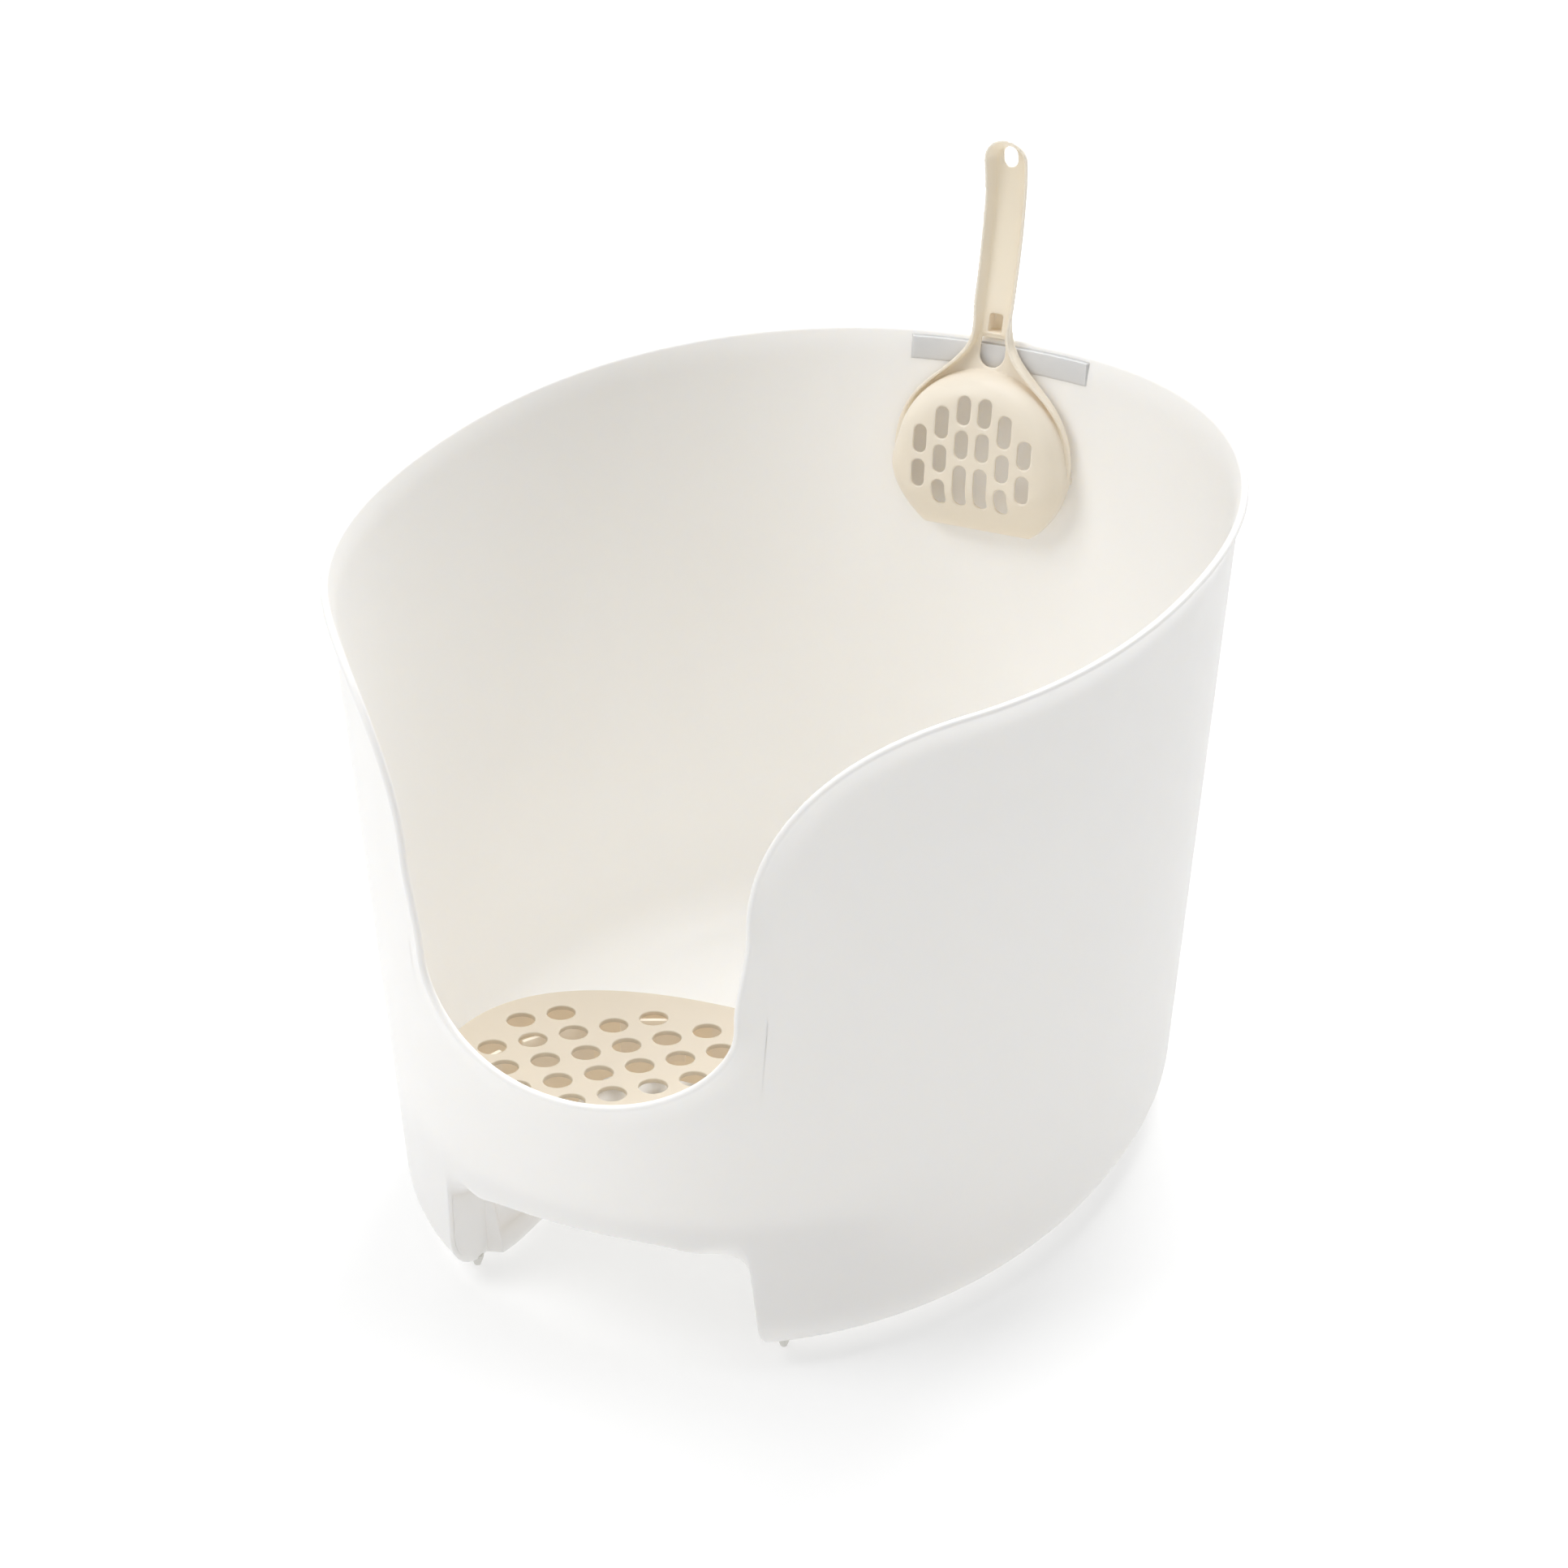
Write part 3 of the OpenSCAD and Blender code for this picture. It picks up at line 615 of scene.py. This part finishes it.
def flat_curve(name, loops, z0, z1, rounding):
    """Plate between two heights with rounded edges, from one outline and its holes."""
    data = bpy.data.curves.new(name, "CURVE")
    data.dimensions = "2D"
    data.fill_mode = "BOTH"
    data.extrude = ((z1 - z0) / 2 - rounding) * MM
    data.bevel_depth = rounding * MM
    data.offset = -rounding * MM
    data.bevel_resolution = 2
    for loop in loops:
        spline = data.splines.new("POLY")
        spline.points.add(len(loop) - 1)
        spline.use_cyclic_u = True
        for p, (x, y) in zip(spline.points, loop):
            p.co = (x * MM, (y + SHIFT_Y) * MM, 0, 1)
    obj = bpy.data.objects.new(name, data)
    bpy.context.scene.collection.objects.link(obj)
    graph = bpy.context.evaluated_depsgraph_get()
    mesh = bpy.data.meshes.new_from_object(obj.evaluated_get(graph))
    bpy.data.objects.remove(obj)
    b = bmesh.new()
    b.from_mesh(mesh)
    bmesh.ops.remove_doubles(b, verts=b.verts, dist=1e-6)
    bmesh.ops.translate(b, verts=b.verts, vec=(0, 0, (z0 + z1) / 2 * MM))
    bmesh.ops.recalc_face_normals(b, faces=b.faces)
    b.to_mesh(mesh)
    b.free()
    mesh.name = name
    obj = bpy.data.objects.new(name, mesh)
    bpy.context.scene.collection.objects.link(obj)
    return obj


def ring(cx, cy, r, n):
    q = np.radians(np.arange(n) * 360 / n)
    return np.stack([cx + r * np.cos(q), cy + r * np.sin(q)], -1)


def upright_strips(name, pairs, z0, z1):
    """Upright walls between pairs of matching lines, with softened lower edges."""
    softening, pulled = 0.5, 0.45
    points, quads = [], []
    for outer, inner in pairs:
        n = len(outer)
        middle = (outer + inner) / 2
        base = len(points)
        for line, z, pull in ((outer, z1, 0), (outer, z0 + softening, 0), (outer, z0, pulled),
                              (inner, z0, pulled), (inner, z0 + softening, 0), (inner, z1, 0)):
            flat = mix(line, middle, pull)
            points += [(x * MM, (y + SHIFT_Y) * MM, z * MM) for x, y in flat]
        for r in range(6):
            for i in range(n - 1):
                a, b = base + r * n + i, base + (r + 1) % 6 * n + i
                quads.append((a, b, b + 1, a + 1))
        for i in (0, n - 1):
            ends = [base + r * n + i for r in range(6)]
            quads.append(tuple(ends if i else ends[::-1]))
    return grid_object(name, points, quads)


def build_step():
    """The step's plate, its skirt down to the floor and the castellated rib."""
    rear, front = step_edge(0.0)
    loops = [np.concatenate([rear, front])]
    loops += [ring(x, y, HOLE_R, 40)[::-1] for x, y in step_hole_spots()]
    made = [flat_curve("step_plate", loops, STEP_TOP - PLATE, STEP_TOP, EDGE_R)]
    under = STEP_TOP - PLATE + 0.6
    skirt = (step_edge(EDGE_R)[0], step_edge(EDGE_R + SKIRT)[0])
    made.append(upright_strips("step_skirt", [skirt], GAP + WALL + 1, under))
    half_gap = math.degrees(RIB_GAP / RIB_R)
    spans = ([(-RIB_END, TEETH[0][0] - half_gap)]
             + [(a + half_gap, b - half_gap) for a, b in TEETH]
             + [(TEETH[-1][1] + half_gap, RIB_END)])
    ribs = []
    for a, b in spans:
        q = np.radians(np.linspace(a, b, 16))
        side = np.stack([np.sin(q), np.cos(q)], -1)
        ribs.append((side * RIB_R + [0, RIB_Y], side * (RIB_R - SKIRT) + [0, RIB_Y]))
    made.append(upright_strips("step_rib", ribs, STEP_TOP - PLATE - RIB_DEEP, under))
    return made


# ------------------------------------------------------------------ materials
def plastic(name, colour, dark, rough, grain=0.3, mottle=0.5, glow=0.0):
    """Moulded plastic: faint flow mottling and a fine satin texture, slightly translucent."""
    m = bpy.data.materials.new(name)
    m.use_nodes = True
    t = m.node_tree
    t.nodes.clear()
    out = t.nodes.new("ShaderNodeOutputMaterial")
    b = t.nodes.new("ShaderNodeBsdfPrincipled")
    t.links.new(b.outputs[0], out.inputs[0])
    co = t.nodes.new("ShaderNodeTexCoord")

    def noise(scale, detail):
        n = t.nodes.new("ShaderNodeTexNoise")
        n.inputs["Scale"].default_value = scale
        n.inputs["Detail"].default_value = detail
        t.links.new(co.outputs["Object"], n.inputs["Vector"])
        return n

    def ramp(src, lo, hi, a, c):
        r = t.nodes.new("ShaderNodeMapRange")
        r.inputs["From Min"].default_value = lo
        r.inputs["From Max"].default_value = hi
        r.inputs["To Min"].default_value = a
        r.inputs["To Max"].default_value = c
        t.links.new(src, r.inputs["Value"])
        return r.outputs["Result"]

    cloud = noise(9, 3)
    mixer = t.nodes.new("ShaderNodeMix")
    mixer.data_type = "RGBA"
    mixer.inputs["A"].default_value = (*colour, 1)
    mixer.inputs["B"].default_value = (*dark, 1)
    t.links.new(ramp(cloud.outputs["Fac"], 0.35, 0.7, 0.0, mottle), mixer.inputs["Factor"])
    fine = noise(2600, 2)
    t.links.new(mixer.outputs["Result"], b.inputs["Base Color"])
    wide = noise(60, 4)
    t.links.new(ramp(wide.outputs["Fac"], 0.3, 0.7, rough - 0.05, rough + 0.06),
                b.inputs["Roughness"])
    bump = t.nodes.new("ShaderNodeBump")
    bump.inputs["Strength"].default_value = grain
    bump.inputs["Distance"].default_value = 0.00008
    t.links.new(fine.outputs["Fac"], bump.inputs["Height"])
    t.links.new(bump.outputs["Normal"], b.inputs["Normal"])
    b.inputs["IOR"].default_value = 1.48
    b.inputs["Subsurface Weight"].default_value = glow
    b.inputs["Subsurface Radius"].default_value = (1.0, 0.92, 0.8)
    b.inputs["Subsurface Scale"].default_value = 0.006
    return m


def light_up(material, colour, strength):
    """Give a material a light of its own, and return its shader."""
    shader = material.node_tree.nodes["Principled BSDF"]
    shader.inputs["Emission Color"].default_value = (*colour, 1)
    shader.inputs["Emission Strength"].default_value = strength
    return shader


white = plastic("white_plastic", (0.905, 0.898, 0.88), (0.89, 0.882, 0.862), 0.42, glow=0.5)
cream = plastic("cream_plastic", (0.66, 0.59, 0.485), (0.64, 0.57, 0.46), 0.42, glow=0.3)
# The scoop's cream is partly its own paler tone and partly painted light: it is lifted further
# to stand in for the front light that the lamps give too little of.
cream_scoop_painted_light = plastic("cream_scoop_painted_light_plastic", (0.885, 0.80, 0.675), (0.865, 0.775, 0.645), 0.4,
                      glow=0.35)
# Parts under the plate are thin; a paler copy of the cream and a painted glow stand in for the
# light that comes through them, so they stay pale in the shade.
cream_under_painted_glow = plastic("cream_under_painted_glow_plastic", (0.84, 0.75, 0.62), (0.82, 0.73, 0.60), 0.42,
                      glow=0.3)
light_up(cream_under_painted_glow, (0.88, 0.78, 0.65), 0.16)
soft = plastic("foot_rubber", (0.80, 0.79, 0.75), (0.76, 0.75, 0.70), 0.6)


def paint(obj, material):
    obj.data.materials.clear()
    obj.data.materials.append(material)


tub = build_tub()
shade(tub)
paint(tub, white)
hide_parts("tub")
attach(tub, "tub")

seat = build_seat()
shade(seat)
paint(seat, white)
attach(seat, "tub")

scoop = build_scoop()
scoop.data.shade_smooth()
# scoop cream, brightened with painted light
paint(scoop, cream_scoop_painted_light)
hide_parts("scoop")
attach(scoop, "scoop")

for i, piece in enumerate(build_step()):
    shade(piece, 50)
    weighted = piece.modifiers.new("even_shading", "WEIGHTED_NORMAL")
    weighted.keep_sharp = True
    # the plate gets the plain cream; the skirt and rib get the pale cream with its painted glow
    paint(piece, cream_under_painted_glow if i else cream)
    if i == 0:
        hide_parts("step_grate")
    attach(piece, "step")

for node in ("foot_front_left", "foot_front_right", "foot_rear_left", "foot_rear_right"):
    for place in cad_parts[node].material_slots:
        place.material = soft


# ------------------------------------------------------------------ stage, camera, light
def flat_sheet(name, half):
    """Level square sheet at the origin, reaching half to each side in metres."""
    mesh = bpy.data.meshes.new(name)
    n = 8
    line = n + 1
    pts = [(mix(-half, half, i / n), mix(-half, half, j / n), 0.0)
           for j in range(line) for i in range(line)]
    quads = [(j * line + i, j * line + i + 1, (j + 1) * line + i + 1, (j + 1) * line + i)
             for j in range(n) for i in range(n)]
    mesh.from_pydata(pts, [], quads)
    o = bpy.data.objects.new(name, mesh)
    bpy.context.scene.collection.objects.link(o)
    return o


floor = flat_sheet("floor", 6)
floor_paper = plastic("floor_paper", (0.6, 0.6, 0.6), (0.59, 0.59, 0.59), 0.9, 0.02)
floor_shader = light_up(floor_paper, (1, 1, 1), 0.445)
floor_shader.inputs["Specular IOR Level"].default_value = 0.0
paint(floor, floor_paper)

azimuth, elevation, distance = math.radians(25.19), math.radians(27.09), 2.4235
back = Vector((math.sin(azimuth) * math.cos(elevation),
               -math.cos(azimuth) * math.cos(elevation), math.sin(elevation)))
target = Vector((0, SHIFT_Y * MM, 0.2))
lens = bpy.data.cameras.new("camera")
lens.sensor_width = 36
lens.lens = 98.27
lens.shift_x, lens.shift_y = -0.0080, 0.0199
lens.clip_end = 50
cam = bpy.data.objects.new("camera", lens)
cam.location = target + back * distance
cam.rotation_euler = (-back).to_track_quat("-Z", "Y").to_euler()
bpy.context.scene.collection.objects.link(cam)
bpy.context.scene.camera = cam


def area(name, place, aim, size, watts):
    """Round soft lamp at a place, turned towards a point."""
    d = bpy.data.lights.new(name, "AREA")
    d.shape = "DISK"
    d.size = size
    d.energy = watts
    o = bpy.data.objects.new(name, d)
    o.location = place
    o.rotation_euler = (Vector(aim) - Vector(place)).to_track_quat("-Z", "Y").to_euler()
    bpy.context.scene.collection.objects.link(o)


# each lamp's place and width in metres, and its power in watts
LAMPS = {
    "key": ((-1.7, -1.6, 2.6), 1.8, 40.8),
    "front": ((-0.5, -3.0, 0.9), 1.6, 1.0),
    "right": ((2.6, -1.8, 1.8), 2.2, 4.3),
    "top": ((0, 0.3, 3.2), 2.2, 46.4),
    "rear": ((-0.2, 2.8, 2.4), 2.0, 79.6),
}
for lamp, (place, size, watts) in LAMPS.items():
    area(lamp, place, (0, 0, 0.22), size, watts)

world = bpy.data.worlds.new("studio")
bpy.context.scene.world = world
world.use_nodes = True
world.node_tree.nodes["Background"].inputs["Color"].default_value = (1, 1, 1, 1)
world.node_tree.nodes["Background"].inputs["Strength"].default_value = 0.3
bpy.context.scene.view_settings.view_transform = "Standard"
bpy.context.scene.cycles.diffuse_bounces = 10
bpy.context.scene.cycles.max_bounces = 14
